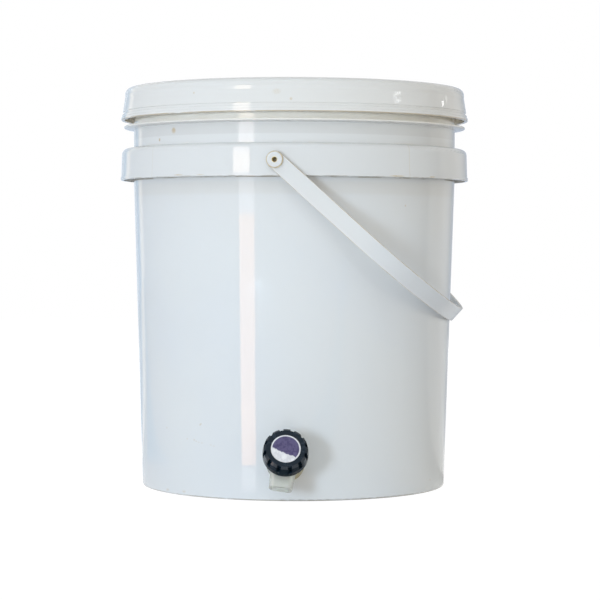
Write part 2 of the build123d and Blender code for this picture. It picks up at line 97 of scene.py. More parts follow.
def measure(tree, operation, *inputs):
    """A number made from one or two vectors."""
    return add(tree, "ShaderNodeVectorMath", dict(enumerate(inputs)), operation=operation).outputs["Value"]


def split(tree, vector):
    return add(tree, "ShaderNodeSeparateXYZ", {0: vector}).outputs


def ramp(tree, value, low, high, start=0.0, end=1.0):
    """From start at low to end at high, in a smooth step."""
    inputs = {0: value, 1: low, 2: high, 3: start, 4: end}
    return add(tree, "ShaderNodeMapRange", inputs, interpolation_type="SMOOTHSTEP").outputs[0]


def band(tree, value, low, high, soft):
    """1 where value lies between low and high, fading over soft at both ends."""
    rise = ramp(tree, value, low - soft, low)
    fall = ramp(tree, value, high, high + soft, 1.0, 0.0)
    return times(tree, rise, fall)


def mix_colour(tree, factor, first, second):
    made = add(tree, "ShaderNodeMix", {0: factor}, data_type="RGBA")
    put(tree, made.inputs[6], first)
    put(tree, made.inputs[7], second)
    return made.outputs[2]


def noise(tree, vector, scale, detail=2.0, roughness=0.5):
    inputs = {"Vector": vector, "Scale": scale, "Detail": detail, "Roughness": roughness}
    return add(tree, "ShaderNodeTexNoise", inputs).outputs["Fac"]


def stretched(tree, vector, scale):
    return vectors(tree, "MULTIPLY", vector, scale)


def near_point(tree, vector, point, radius, soft):
    """1 within radius of a point on the object, fading over soft."""
    return ramp(tree, measure(tree, "DISTANCE", vector, point), radius, radius + soft, 1.0, 0.0)


def own_normal(tree):
    """The surface's normal in the piece's own frame."""
    return add(tree, "ShaderNodeTexCoord").outputs["Normal"]


def new_material(name):
    material = bpy.data.materials.new(name)
    material.use_nodes = True
    tree = material.node_tree
    tree.nodes.clear()
    shader = add(tree, "ShaderNodeBsdfPrincipled")
    output = add(tree, "ShaderNodeOutputMaterial")
    tree.links.new(shader.outputs[0], output.inputs[0])
    place = add(tree, "ShaderNodeTexCoord").outputs["Object"]
    return material, tree, shader, place


def set_surface(tree, shader, colour, rough):
    put(tree, shader.inputs["Base Color"], colour)
    put(tree, shader.inputs["Roughness"], rough)


def set_bump(tree, shader, height, distance, strength=1.0, normal=None):
    bump = add(tree, "ShaderNodeBump", {"Strength": strength, "Distance": distance, "Height": height})
    if normal:
        tree.links.new(normal, bump.inputs["Normal"])
    tree.links.new(bump.outputs[0], shader.inputs["Normal"])


PLASTIC_IOR = 1.49
SOAK_RADIUS = (1.0, 0.96, 0.92)


def set_soak(shader, weight, scale, ior=PLASTIC_IOR, radius=SOAK_RADIUS):
    """How much light goes into the plastic, and how far."""
    shader.inputs["IOR"].default_value = ior
    shader.inputs["Subsurface Weight"].default_value = weight
    shader.inputs["Subsurface Radius"].default_value = radius
    shader.inputs["Subsurface Scale"].default_value = scale


# Colours, in linear light
WALL_WHITE = (0.762, 0.782, 0.800, 1)
WALL_CLOUD = (0.778, 0.792, 0.796, 1)
BAND_WHITE = (0.754, 0.756, 0.751, 1)
LID_WHITE = (0.785, 0.776, 0.757, 1)
LID_CLOUD = (0.797, 0.784, 0.760, 1)
# Painted light: a near-white that lifts the shade in the gap under the lid and on the inside of the lid's skirt
PAINTED_LIGHT_UNDER_LID = (0.985, 0.945, 0.87, 1)
# Painted shade on the neck under the flange
PAINTED_SHADE_UNDER_FLANGE = (0.66, 0.655, 0.64, 1)
# Painted shade on the wall under the band
PAINTED_SHADE_UNDER_BAND = (0.725, 0.715, 0.690, 1)
YELLOWED = (0.66, 0.60, 0.46, 1)
GRIME = (0.30, 0.225, 0.125, 1)
EDGE_DIRT = (0.44, 0.29, 0.08, 1)
BROWNED = (0.50, 0.40, 0.26, 1)
HONEY_STAIN = (0.56, 0.40, 0.17, 1)
PIN_HOLE = (0.92, 0.70, 0.30, 1)
PALE_HANDLE = (0.755, 0.755, 0.750, 1)
GREY_HANDLE = (0.72, 0.75, 0.79, 1)
PIN_WHITE = (0.86, 0.865, 0.86, 1)
NATURAL = (0.90, 0.91, 0.85, 1)
NATURAL_DEEP = (0.82, 0.84, 0.77, 1)
TAN = (0.47, 0.38, 0.22, 1)
TAN_SPECKLE = (0.56, 0.47, 0.30, 1)
TAN_FLANGE = (0.96, 0.83, 0.53, 1)
KNOB_BLUE = (0.0035, 0.0120, 0.0220, 1)
KNOB_WORN = (0.011, 0.023, 0.037, 1)
DISC_DARK = (0.075, 0.060, 0.145, 1)
DISC_DARK_CLOUD = (0.115, 0.098, 0.205, 1)
DISC_PALE = (0.74, 0.73, 0.75, 1)
DISC_PALE_CLOUD = (0.90, 0.89, 0.89, 1)
FOAM_GREY = (0.42, 0.42, 0.40, 1)
FOAM_SPECKLE = (0.30, 0.30, 0.29, 1)
SEAL_BLACK = (0.02, 0.02, 0.02, 1)
SEAL_SPECKLE = (0.045, 0.045, 0.045, 1)
STEEL_DARK = (0.46, 0.46, 0.45, 1)
STEEL_PALE = (0.62, 0.62, 0.60, 1)

# Sizes on the pieces that the materials follow, in metres
WALL_TO_BAND_Z = (0.20, 0.29)
SKIRT_INSIDE_RADIUS = 0.148
SEAM_HALF = 0.0003
GRIP_X = (0.050, 0.150)
PIN_BORE_RADIUS = (0.0022, 0.0027)
PIN_EDGE_RADIUS = (0.0060, 0.0066)
TAP_TURN = 3.2
TAP_FLANGE_REACH = (0.1430, 0.1446)
TAP_FLANGE_X = (0.006, 0.014)
DISC_RIM_RADIUS = (0.0110, 0.0113)
DISC_FOOT_LEVEL = (-0.0046, -0.0036)
DISC_FOOT_SLOPE = 0.45


def with_grime_and_painted_light(tree, colour, place, height, grime_and_light_bands):
    """Patchy level bands of grime, and of painted light and painted shade: low, high, soft, amount, patch threshold
    and tint of each.
    """
    patch = noise(tree, stretched(tree, place, (38.0, 38.0, 90.0)), 1.0, 4.0, 0.65)
    for low, high, soft, amount, threshold, tint in grime_and_light_bands:
        here = band(tree, height, low, high, soft)
        grime_or_painted_light = times(tree, here, ramp(tree, patch, threshold, threshold + 0.22, 0.0, amount))
        colour = mix_colour(tree, grime_or_painted_light, colour, tint)
    return colour


def with_stains(tree, colour, place, stains):
    """Honey spots: middle, radius, amount and flatness of each."""
    uneven = noise(tree, place, 900.0, 2.0)
    for point, radius, amount, flatness in stains:
        squashed = stretched(tree, place, (1.0, 1.0, flatness))
        spot = near_point(tree, squashed, (point[0], point[1], point[2] * flatness), 0.35 * radius, radius)
        shade = ramp(tree, uneven, 0.25, 0.75, 0.45 * amount, amount)
        colour = mix_colour(tree, times(tree, spot, shade), colour, HONEY_STAIN)
    return colour


def with_seams(tree, colour, place, height, seams):
    """Upright mould lines: angle, low, high and amount of each."""
    for angle, low, high, amount in seams:
        across = measure(tree, "DOT_PRODUCT", place, point_round(angle + 90.0, 0.0, 1.0))
        outward = measure(tree, "DOT_PRODUCT", place, point_round(angle, 0.0, 1.0))
        line = times(tree, band(tree, across, -SEAM_HALF, SEAM_HALF, 0.0004), ramp(tree, outward, 0.0, 0.01))
        line = times(tree, line, band(tree, height, low, high, 0.001))
        colour = mix_colour(tree, times(tree, line, amount), colour, YELLOWED)
    return colour


def with_painted_light_inside(tree, colour, place, least_radius, pale):
    """Painted light: a paler tint on faces beyond least_radius that look towards the axis, lifting the shade on
    them.
    """
    radial = stretched(tree, place, (1.0, 1.0, 0.0))
    from_axis = measure(tree, "LENGTH", radial)
    outer = measure(tree, "DOT_PRODUCT", own_normal(tree), radial)
    inside = times(
        tree,
        ramp(tree, outer, -0.06, -0.02, 1.0, 0.0),
        ramp(tree, from_axis, least_radius - 0.001, least_radius),
    )
    return mix_colour(tree, inside, colour, pale)


def crisp_normal(tree, xyz, facets):
    """The surface's own normal, or a ring's exact one where low < Z < high on its outer face; slope is its lean."""
    normal = add(tree, "ShaderNodeNewGeometry").outputs["Normal"]
    for low, high, slope in facets:
        radial = add(tree, "ShaderNodeCombineXYZ", {"X": xyz["X"], "Y": xyz["Y"], "Z": 0.0}).outputs[0]
        radial = vectors(tree, "NORMALIZE", radial)
        outer = measure(tree, "DOT_PRODUCT", normal, radial)
        inside = times(tree, band(tree, xyz["Z"], low, high, 0.0002), ramp(tree, outer, 0.80, 0.90))
        leaning = vectors(tree, "NORMALIZE", vectors(tree, "ADD", radial, (0.0, 0.0, slope)))
        mixed = add(tree, "ShaderNodeMix", {0: inside}, data_type="VECTOR")
        put(tree, mixed.inputs[4], normal)
        put(tree, mixed.inputs[5], leaning)
        normal = mixed.outputs[1]
    return normal


def white_plastic(
    name, whites, upper_white=None, stains=(), grime_and_light_bands=(), seams=(), facets=(), painted_light_inside=None, dull=None
):
    """Glossy moulded white that lets a little light into it, with sparse specks, stains, lines of grime, and bands
    and faces of painted light and painted shade.
    """
    material, tree, shader, place = new_material(name)
    xyz = split(tree, place)
    height = xyz["Z"]
    cloud = noise(tree, place, 9.0, 3.0)
    colour = mix_colour(tree, ramp(tree, cloud, 0.35, 0.65), *whites)
    if upper_white:
        colour = mix_colour(tree, ramp(tree, height, *WALL_TO_BAND_Z), colour, upper_white)

    cells = add(tree, "ShaderNodeTexVoronoi", {"Vector": place, "Scale": 30.0}, feature="F1").outputs
    chosen = add(tree, "ShaderNodeSeparateColor", {0: cells["Color"]}).outputs[0]
    speck = times(
        tree, ramp(tree, cells["Distance"], 0.012, 0.030, 1.0, 0.0), ramp(tree, chosen, 0.86, 0.88)
    )
    colour = mix_colour(tree, times(tree, speck, 0.30), colour, YELLOWED)
    colour = with_grime_and_painted_light(tree, colour, place, height, grime_and_light_bands)
    colour = with_stains(tree, colour, place, stains)
    colour = with_seams(tree, colour, place, height, seams)
    # Painted light on the inside of the skirt
    if painted_light_inside:
        colour = with_painted_light_inside(tree, colour, place, SKIRT_INSIDE_RADIUS, painted_light_inside)

    polish = noise(tree, place, 26.0, 3.0, 0.6)
    rough = maths(tree, "ADD", ramp(tree, polish, 0.3, 0.7, 0.012, 0.03), times(tree, speck, 0.2))
    if dull:
        low, high, amount = dull
        rough = maths(tree, "ADD", rough, times(tree, band(tree, height, low, high, 0.0008), amount))
    set_surface(tree, shader, colour, rough)
    set_soak(shader, 0.3, 0.0025)
    ripple = noise(tree, stretched(tree, place, (14.0, 14.0, 7.0)), 1.0, 1.0)
    fine = noise(tree, place, 1500.0, 1.0)
    relief = maths(tree, "ADD", ripple, times(tree, fine, 0.004))
    set_bump(tree, shader, relief, 0.0003, 0.4, crisp_normal(tree, xyz, facets))
    return material


def handle_plastic(name):
    """The same white, greyed and scuffed along the grip, with dirt along its edges."""
    material, tree, shader, place = new_material(name)
    handled = ramp(tree, split(tree, place)["X"], *GRIP_X)
    uneven = noise(tree, place, 60.0, 4.0, 0.6)
    greyed = times(tree, handled, ramp(tree, uneven, 0.25, 0.7, 0.95, 1.0))
    colour = mix_colour(tree, greyed, PALE_HANDLE, GREY_HANDLE)
    smear = noise(tree, stretched(tree, place, (30.0, 60.0, 30.0)), 1.0, 4.0, 0.7)
    colour = mix_colour(tree, ramp(tree, smear, 0.62, 0.82, 0.0, 0.04), colour, YELLOWED)
    edge = maths(tree, "ABSOLUTE", measure(tree, "DOT_PRODUCT", own_normal(tree), tuple(handle_across)))
    dirt = times(tree, ramp(tree, edge, 0.30, 0.6), ramp(tree, smear, 0.35, 0.65, 0.30, 0.75))
    colour = mix_colour(tree, dirt, colour, EDGE_DIRT)
    set_surface(tree, shader, colour, ramp(tree, uneven, 0.3, 0.7, 0.23, 0.26))
    set_soak(shader, 0.6, 0.004)
    set_bump(tree, shader, noise(tree, place, 700.0, 2.0), 0.00006, 0.5)
    return material


def pin_plastic(name):
    """The handle's white, with dirt round the head and inside the hole."""
    material, tree, shader, place = new_material(name)
    xyz = split(tree, place)
    drop = maths(tree, "SUBTRACT", xyz["Z"], pivot_z)
    squares = maths(tree, "ADD", maths(tree, "POWER", xyz["X"], 2.0), maths(tree, "POWER", drop, 2.0))
    from_axis = maths(tree, "SQRT", squares)
    uneven = noise(tree, place, 260.0, 3.0, 0.6)
    ring = times(
        tree, ramp(tree, from_axis, *PIN_EDGE_RADIUS, 0.0, 0.75), ramp(tree, uneven, 0.25, 0.55, 0.4, 1.0)
    )
    colour = mix_colour(tree, ring, PIN_WHITE, EDGE_DIRT)
    colour = mix_colour(tree, ramp(tree, from_axis, *PIN_BORE_RADIUS, 0.95, 0.0), colour, PIN_HOLE)
    set_surface(tree, shader, colour, ramp(tree, uneven, 0.3, 0.7, 0.2, 0.35))
    set_soak(shader, 0.9, 0.005)
    set_bump(tree, shader, uneven, 0.00008, 0.5)
    return material


def natural_plastic(name):
    """Cloudy uncoloured plastic that lets light through, tan where the washer shows behind the flange."""
    material, tree, shader, place = new_material(name)
    cloud = noise(tree, place, 85.0, 3.0, 0.6)
    colour = mix_colour(tree, ramp(tree, cloud, 0.3, 0.7), NATURAL_DEEP, NATURAL)
    outward = measure(tree, "DOT_PRODUCT", place, point_round(TAP_TURN, 0.0, 1.0))
    flange = times(
        tree,
        ramp(tree, outward, *TAP_FLANGE_REACH, 0.8, 0.0),
        ramp(tree, split(tree, place)["X"], *TAP_FLANGE_X),
    )
    colour = mix_colour(tree, flange, colour, TAN_FLANGE)
    set_surface(tree, shader, colour, ramp(tree, noise(tree, place, 240.0, 2.0), 0.3, 0.7, 0.10, 0.18))
    set_soak(shader, 0.8, 0.006, 1.51, (0.95, 1.0, 0.90))
    shader.inputs["Transmission Weight"].default_value = 0.55
    set_bump(tree, shader, noise(tree, place, 320.0, 2.0), 0.00012, 0.4)
    return material


def dark_plastic(name):
    """Blue-black moulding with a soft sheen, paler where hands have polished it; the sheen's strength is painted by
    which way each face leans.
    """
    material, tree, shader, place = new_material(name)
    worn = noise(tree, place, 210.0, 4.0, 0.65)
    colour = mix_colour(tree, ramp(tree, worn, 0.45, 0.75), KNOB_BLUE, KNOB_WORN)
    set_surface(tree, shader, colour, ramp(tree, worn, 0.3, 0.7, 0.18, 0.30))
    shader.inputs["IOR"].default_value = 1.50
    # Painted sheen: the specular level is strongest on faces turned sideways, weaker on faces turned up and faint
    # on faces turned down
    lean = split(tree, own_normal(tree))["Z"]
    painted_sheen = times(tree, band(tree, lean, -0.30, 0.02, 0.18), 0.34)
    painted_sheen = maths(tree, "ADD", painted_sheen, ramp(tree, lean, -0.55, -0.15, 0.03, 0.24))
    put(tree, shader.inputs["Specular IOR Level"], painted_sheen)
    set_bump(tree, shader, noise(tree, place, 1100.0, 2.0), 0.00005, 0.5)
    return material


def rubber(name, base, speckle):
    """Dull rubber or foam with a fine grain."""
    material, tree, shader, place = new_material(name)
    grain = noise(tree, place, 420.0, 4.0, 0.7)
    colour = mix_colour(tree, ramp(tree, grain, 0.35, 0.7), base, speckle)
    set_surface(tree, shader, colour, ramp(tree, grain, 0.3, 0.7, 0.55, 0.75))
    set_bump(tree, shader, grain, 0.0001, 0.6)
    return material


def steel(name):
    """Plain stainless steel with turning marks."""
    material, tree, shader, place = new_material(name)
    turned = noise(tree, stretched(tree, place, (900.0, 60.0, 900.0)), 1.0, 3.0)
    colour = mix_colour(tree, turned, STEEL_DARK, STEEL_PALE)
    set_surface(tree, shader, colour, ramp(tree, turned, 0.2, 0.8, 0.22, 0.40))
    shader.inputs["Metallic"].default_value = 1.0
    return material


def disc_face(name):
    """A bare two-tone disc: a pale rim, a dark field and a pale foot, with nothing printed on it."""
    material, tree, shader, place = new_material(name)
    from_middle = vectors(tree, "SUBTRACT", place, tuple(valve_origin))
    along_x = measure(tree, "DOT_PRODUCT", from_middle, tuple(disc_right))
    along_y = measure(tree, "DOT_PRODUCT", from_middle, tuple(disc_up))
    squares = maths(tree, "ADD", maths(tree, "POWER", along_x, 2.0), maths(tree, "POWER", along_y, 2.0))
    radius = maths(tree, "SQRT", squares)
    cloud = noise(tree, place, 260.0, 4.0, 0.6)
    field = mix_colour(tree, ramp(tree, cloud, 0.3, 0.7), DISC_DARK, DISC_DARK_CLOUD)
    sheen = mix_colour(tree, ramp(tree, cloud, 0.35, 0.65), DISC_PALE, DISC_PALE_CLOUD)
    swell = times(tree, maths(tree, "SUBTRACT", cloud, 0.5), 0.006)
    level = maths(tree, "ADD", times(tree, along_x, DISC_FOOT_SLOPE), along_y)
    level = maths(tree, "ADD", level, swell)
    foot = ramp(tree, level, *DISC_FOOT_LEVEL, 1.0, 0.0)
    pale = maths(tree, "MAXIMUM", foot, ramp(tree, radius, *DISC_RIM_RADIUS))
    colour = mix_colour(tree, pale, field, sheen)
    set_surface(tree, shader, colour, ramp(tree, cloud, 0.3, 0.7, 0.22, 0.34))
    shader.inputs["Specular IOR Level"].default_value = 0.3
    set_bump(tree, shader, cloud, 0.00006, 0.4)
    return material


# The bucket's marks, each placed by its angle round the side and its height
FOOT_RADIUS = 0.1366
WALL_RADIUS = 0.1379
UPPER_WALL_RADIUS = 0.1441
NECK_RADIUS = 0.1448
BEHIND_PIN_RADIUS = 0.145
LID_RADIUS = 0.1540
bucket_stains = [
    (point_round(-39.8, 0.3146, NECK_RADIUS), 0.0026, 0.75, 1.0),
    (point_round(-47.8, 0.3073, NECK_RADIUS), 0.0014, 0.95, 1.0),
    (point_round(-33.0, 0.2758, band_radius), 0.0050, 0.55, 8.0),
    (point_round(-24.4, 0.2756, band_radius), 0.0040, 0.40, 8.0),
    (point_round(39.7, 0.2752, band_radius), 0.0080, 0.75, 12.0),
    (point_round(55.0, 0.2754, band_radius), 0.0040, 0.90, 8.0),
    (point_round(-47.4, 0.0031, FOOT_RADIUS), 0.0026, 0.30, 2.0),
    (point_round(-37.8, 0.0036, FOOT_RADIUS), 0.0024, 0.30, 2.0),
    (point_round(67.5, 0.0107, FOOT_RADIUS), 0.0009, 0.50, 1.0),
    (point_round(-29.4, 0.0626, WALL_RADIUS), 0.0010, 0.38, 1.0),
    (point_round(-29.0, 0.0634, WALL_RADIUS), 0.0009, 0.42, 1.0),
    (point_round(-47.0, 0.0575, WALL_RADIUS), 0.0009, 0.30, 1.0),
    (point_round(-35.6, 0.0497, WALL_RADIUS), 0.0008, 0.28, 1.0),
    (point_round(-32.2, 0.0493, WALL_RADIUS), 0.0010, 0.28, 1.0),
    (point_round(-31.3, 0.0482, WALL_RADIUS), 0.0010, 0.28, 1.6),
    (point_round(-30.2, 0.0475, WALL_RADIUS), 0.0012, 0.24, 2.2),
    (point_round(-28.8, 0.0471, WALL_RADIUS), 0.0012, 0.20, 2.2),
    (point_round(-24.9, 0.0459, WALL_RADIUS), 0.0012, 0.22, 2.2),
    (point_round(-23.6, 0.0451, WALL_RADIUS), 0.0012, 0.20, 2.2),
    (point_round(47.2, 0.2506, UPPER_WALL_RADIUS), 0.0009, 0.55, 1.0),
    (point_round(0.0, pivot_z, BEHIND_PIN_RADIUS), 0.0060, 0.95, 1.0),
]
lid_stains = [
    (point_round(-27.8, 0.3450, LID_RADIUS), 0.0010, 0.75, 1.0),
    (point_round(-29.0, 0.3293, LID_RADIUS), 0.0012, 0.80, 2.0),
    (point_round(0.3, 0.3447, LID_RADIUS), 0.0036, 0.22, 1.5),
    (point_round(4.8, 0.3385, LID_RADIUS), 0.0014, 0.55, 1.0),
]
bucket_grime_and_painted_light = [
    # Painted light in the gap under the lid
    (flange_z + 0.0005, lid_edge_z + 0.006, 0.002, 1.0, 0.10, PAINTED_LIGHT_UNDER_LID),
    (flange_z + 0.0005, lid_edge_z + 0.004, 0.003, 0.10, 0.40, YELLOWED),
    # Painted shade on the neck under the flange
    (flange_z - 0.0105, flange_z, 0.0012, 0.55, 0.05, PAINTED_SHADE_UNDER_FLANGE),
    # Painted shade on the wall under the band
    (band_edge_z - 0.0125, band_edge_z - 0.006, 0.004, 0.55, 0.05, PAINTED_SHADE_UNDER_BAND),
    (band_edge_z - 0.0004, band_edge_z + 0.0004, 0.0006, 0.50, 0.40, GRIME),
    (band_top_z - 0.001, band_top_z + 0.001, 0.001, 0.20, 0.45, YELLOWED),
    # A patchy dark line along the very foot, darker at the bottom edge
    (-0.001, 0.0008, 0.0008, 0.45, 0.30, GRIME),
]
lid_grime = [
    (lid_edge_z - 0.001, lid_edge_z + 0.0007, 0.0003, 0.80, 0.26, BROWNED),
]
lid_facets = [
    (lid_top_z - 0.0067, lid_top_z - 0.0052, 0.30),
    (lid_top_z - 0.0098, lid_top_z - 0.0069, 0.0),
    (lid_top_z - 0.0212, lid_top_z - 0.0100, 0.16),
    (lid_edge_z + 0.0032, lid_edge_z + 0.0048, 0.0),
]
band_seams = [
    (44.7, band_edge_z, band_top_z, 0.28),
    (-45.7, band_edge_z, band_top_z, 0.18),
]
# The neck between the band and the flange: low, high and how much rougher it is
dull_neck = (band_top_z + 0.0012, flange_z - 0.0012, 0.06)

materials = {
    "bucket": white_plastic(
        "bucket_white",
        (WALL_WHITE, WALL_CLOUD),
        upper_white=BAND_WHITE,
        stains=bucket_stains,
        grime_and_light_bands=bucket_grime_and_painted_light,
        seams=band_seams,
        dull=dull_neck,
    ),
    "lid": white_plastic(
        "lid_white",
        (LID_WHITE, LID_CLOUD),
        stains=lid_stains,
        grime_and_light_bands=lid_grime,
        facets=lid_facets,
        painted_light_inside=PAINTED_LIGHT_UNDER_LID,
    ),
    "lid_gasket": rubber("gasket_foam", FOAM_GREY, FOAM_SPECKLE),
    "handle": handle_plastic("handle_white"),
    "handle_pin_front": pin_plastic("pin_white"),
    "tap_body": natural_plastic("tap_natural"),
    "tap_outer_washer": rubber("washer_tan", TAN, TAN_SPECKLE),
    "tap_knob": dark_plastic("knob_dark"),
    "knob_disc": disc_face("disc_two_tone"),
    "valve_washer": rubber("seal_black", SEAL_BLACK, SEAL_SPECKLE),
    "knob_screw": steel("screw_steel"),
}
same_as = {
    "handle_pin_rear": "handle_pin_front",
    "tap_inner_washer": "tap_outer_washer",
    "tap_lock_nut": "tap_knob",
    "valve_plunger": "tap_body",
    "plunger_o_ring": "valve_washer",
    "knob_screw_washer": "knob_screw",
}
for name, node in nodes.items():
    node.data.materials.clear()
    node.data.materials.append(materials[same_as.get(name, name)])


# Floor, world and lights
FLOOR_HALF = 4.0
FLOOR_WHITE = (0.9, 0.9, 0.9, 1)
FLOOR_GLOW = 1.12
FLOOR_SHOWN = 0.85
FLOOR_MIRROR_SHARE = 0.8
BACKGROUND = (1.0, 1.0, 1.0, 1)
AMBIENT_LEFT = (1.215, 1.20, 1.19, 1)
AMBIENT_RIGHT = (1.00, 0.965, 0.86, 1)
AMBIENT_ABOVE = (0.36, 0.365, 0.37, 1)
KEY_COLOUR = (0.655, 0.825, 1.0)
OVERHEAD_COLOUR = (0.80, 0.92, 1.0)
FILL_COLOUR = (1.0, 0.864, 0.682)
BACK_COLOUR = (1.0, 0.98, 0.95)
PANE_COLOUR = (1.0, 1.0, 1.0)

# What the glossy plastic mirrors round the room, by angle from the front (-Y) towards +X
MIRRORED_ROOM = (
    (-180, (0.50, 0.57, 0.68, 1)),
    (-162, (0.70, 0.82, 0.96, 1)),
    (-154, (0.72, 0.84, 0.98, 1)),
    (-150, (0.46, 0.66, 0.88, 1)),
    (-145, (0.50, 0.70, 0.92, 1)),
    (-140, (1.28, 1.28, 1.28, 1)),
    (-136, (1.28, 1.28, 1.28, 1)),
    (-132, (0.72, 0.82, 0.92, 1)),
    (-95, (0.90, 0.94, 1.00, 1)),
    (-60, (1.00, 1.00, 1.00, 1)),
    (50, (1.00, 1.00, 1.00, 1)),
    (52, (0.90, 0.90, 0.88, 1)),
    (88, (0.90, 0.90, 0.88, 1)),
    (92, (0.72, 0.72, 0.70, 1)),
    (117, (0.42, 0.42, 0.42, 1)),
    (119, (0.90, 0.90, 0.88, 1)),
    (145, (1.02, 1.04, 1.06, 1)),
    (153, (0.80, 0.84, 0.88, 1)),
    (160, (0.52, 0.58, 0.66, 1)),
    (180, (0.50, 0.57, 0.68, 1)),
)

# The tall window, and the edges of its light on the floor between the wall and the window
WINDOW_TURN = -20.0
WINDOW_DISTANCE = 0.317
WINDOW_FACING = -28.0
WINDOW_WIDTH = 0.047
SUNLIT_FLOOR = (3.6, 3.4, 3.4, 1)
SUNLIT_FROM, SUNLIT_TO, SUNLIT_SOFT = 0.195, 0.295, 0.02
window_middle = Vector(point_round(WINDOW_TURN, 0.0, WINDOW_DISTANCE))
window_across = Vector(point_round(WINDOW_FACING + 90.0, 0.0, WINDOW_WIDTH / 2))
window_left = (Vector(point_round(-13.4, 0.0, FOOT_RADIUS)), window_middle - window_across)
window_right = (Vector(point_round(-7.8, 0.0, FOOT_RADIUS)), window_middle + window_across)

# A bluish strip on the floor at the left, clear of the bucket, that is a painted reflection: only glossy rays see
# it
BLUE_FLOOR = (0.45, 0.74, 1.0, 1)
BLUE_LINE = (Vector((-0.312, 0.050, 0.0)), Vector((-0.986, 0.739, 0.0)))
BLUE_LEFT, BLUE_RIGHT, BLUE_SOFT = -0.045, 0.055, 0.045
BLUE_CLEAR_OF_AXIS = (0.25, 0.32)


def mirrored_room(tree, place):
    """The colour that a glossy surface shows in the direction of a place, or at a place on the floor."""
    xyz = split(tree, place)
    turn = maths(tree, "ARCTAN2", xyz["X"], times(tree, xyz["Y"], -1.0))
    share = add(tree, "ShaderNodeMapRange", {0: turn, 1: -math.pi, 2: math.pi, 3: 0.0, 4: 1.0}).outputs[0]
    ring = add(tree, "ShaderNodeValToRGB", {0: share})
    stops = ring.color_ramp.elements
    stops[0].color = MIRRORED_ROOM[0][1]
    stops[-1].color = MIRRORED_ROOM[-1][1]
    for angle, colour in MIRRORED_ROOM[1:-1]:
        stops.new((angle + 180) / 360).color = colour
    return ring.outputs["Color"]


def seen_as_background(tree, mirror_share):
    """1 for rays from the camera or through glass, and a share of it for rays from a glossy surface."""
    light_path = add(tree, "ShaderNodeLightPath").outputs
    seen = maths(tree, "ADD", light_path["Is Camera Ray"], light_path["Is Transmission Ray"])
    mirrored = times(tree, light_path["Is Glossy Ray"], mirror_share)
    return maths(tree, "ADD", seen, mirrored, clamp=True)


def for_glossy_rays(tree, colour):
    """A colour for rays from a glossy surface, and the plain background for the others."""
    return mix_colour(tree, add(tree, "ShaderNodeLightPath").outputs["Is Glossy Ray"], BACKGROUND, colour)


def beside_line(tree, place, start, end):
    """Distance to the right of a line on the floor, looking from start to end."""
    along = (end - start).normalized()
    across = Vector((along.y, -along.x, 0.0))
    return maths(tree, "SUBTRACT", measure(tree, "DOT_PRODUCT", place, tuple(across)), across.dot(start))


floor_mesh = bpy.data.meshes.new("floor")
floor_mesh.from_pydata(
    [
        (-FLOOR_HALF, -FLOOR_HALF, 0),
        (FLOOR_HALF, -FLOOR_HALF, 0),
        (FLOOR_HALF, FLOOR_HALF, 0),
        (-FLOOR_HALF, FLOOR_HALF, 0),
    ],
    [],
    [(0, 1, 2, 3)],
)
floor = bpy.data.objects.new("floor", floor_mesh)
scene.collection.objects.link(floor)
floor_material = bpy.data.materials.new("pale_floor")
floor_material.use_nodes = True
tree = floor_material.node_tree
tree.nodes.clear()
diffuse = add(tree, "ShaderNodeBsdfDiffuse", {"Color": FLOOR_WHITE})
floor_place = add(tree, "ShaderNodeNewGeometry").outputs["Position"]
from_axis = measure(tree, "LENGTH", floor_place)
bluish = band(tree, beside_line(tree, floor_place, *BLUE_LINE), BLUE_LEFT, BLUE_RIGHT, BLUE_SOFT)
bluish = times(tree, bluish, ramp(tree, from_axis, *BLUE_CLEAR_OF_AXIS))
sunlit = times(
    tree,
    ramp(tree, beside_line(tree, floor_place, *window_left), -0.001, 0.001, 1.0, 0.0),
    ramp(tree, beside_line(tree, floor_place, *window_right), -0.001, 0.001, 0.0, 1.0),
)
sunlit = times(tree, sunlit, band(tree, from_axis, SUNLIT_FROM, SUNLIT_TO, SUNLIT_SOFT))
mirrored_floor = mix_colour(tree, bluish, mirrored_room(tree, floor_place), BLUE_FLOOR)
mirrored_floor = mix_colour(tree, sunlit, mirrored_floor, SUNLIT_FLOOR)
glow_inputs = {"Color": for_glossy_rays(tree, mirrored_floor), "Strength": FLOOR_GLOW}
glow = add(tree, "ShaderNodeEmission", glow_inputs)
shown = times(tree, seen_as_background(tree, FLOOR_MIRROR_SHARE), FLOOR_SHOWN)
blend = add(tree, "ShaderNodeMixShader", {0: shown, 1: diffuse.outputs[0], 2: glow.outputs[0]})
add(tree, "ShaderNodeOutputMaterial", {0: blend.outputs[0]})
floor_mesh.materials.append(floor_material)

world = bpy.data.worlds.new("soft_room")
scene.world = world
world.use_nodes = True
tree = world.node_tree
tree.nodes.clear()
looking = add(tree, "ShaderNodeTexCoord").outputs["Generated"]
direction = split(tree, looking)
ambient = mix_colour(tree, ramp(tree, direction["X"], -0.9, 0.9), AMBIENT_LEFT, AMBIENT_RIGHT)
ambient = mix_colour(tree, ramp(tree, direction["Z"], 0.08, 0.6), ambient, AMBIENT_ABOVE)
mirrored_sky = mix_colour(tree, ramp(tree, direction["Z"], 0.15, 0.45), mirrored_room(tree, looking), BACKGROUND)
room = mix_colour(tree, seen_as_background(tree, 1.0), ambient, for_glossy_rays(tree, mirrored_sky))
sky = add(tree, "ShaderNodeBackground", {"Color": room, "Strength": 1.0})
add(tree, "ShaderNodeOutputWorld", {0: sky.outputs[0]})


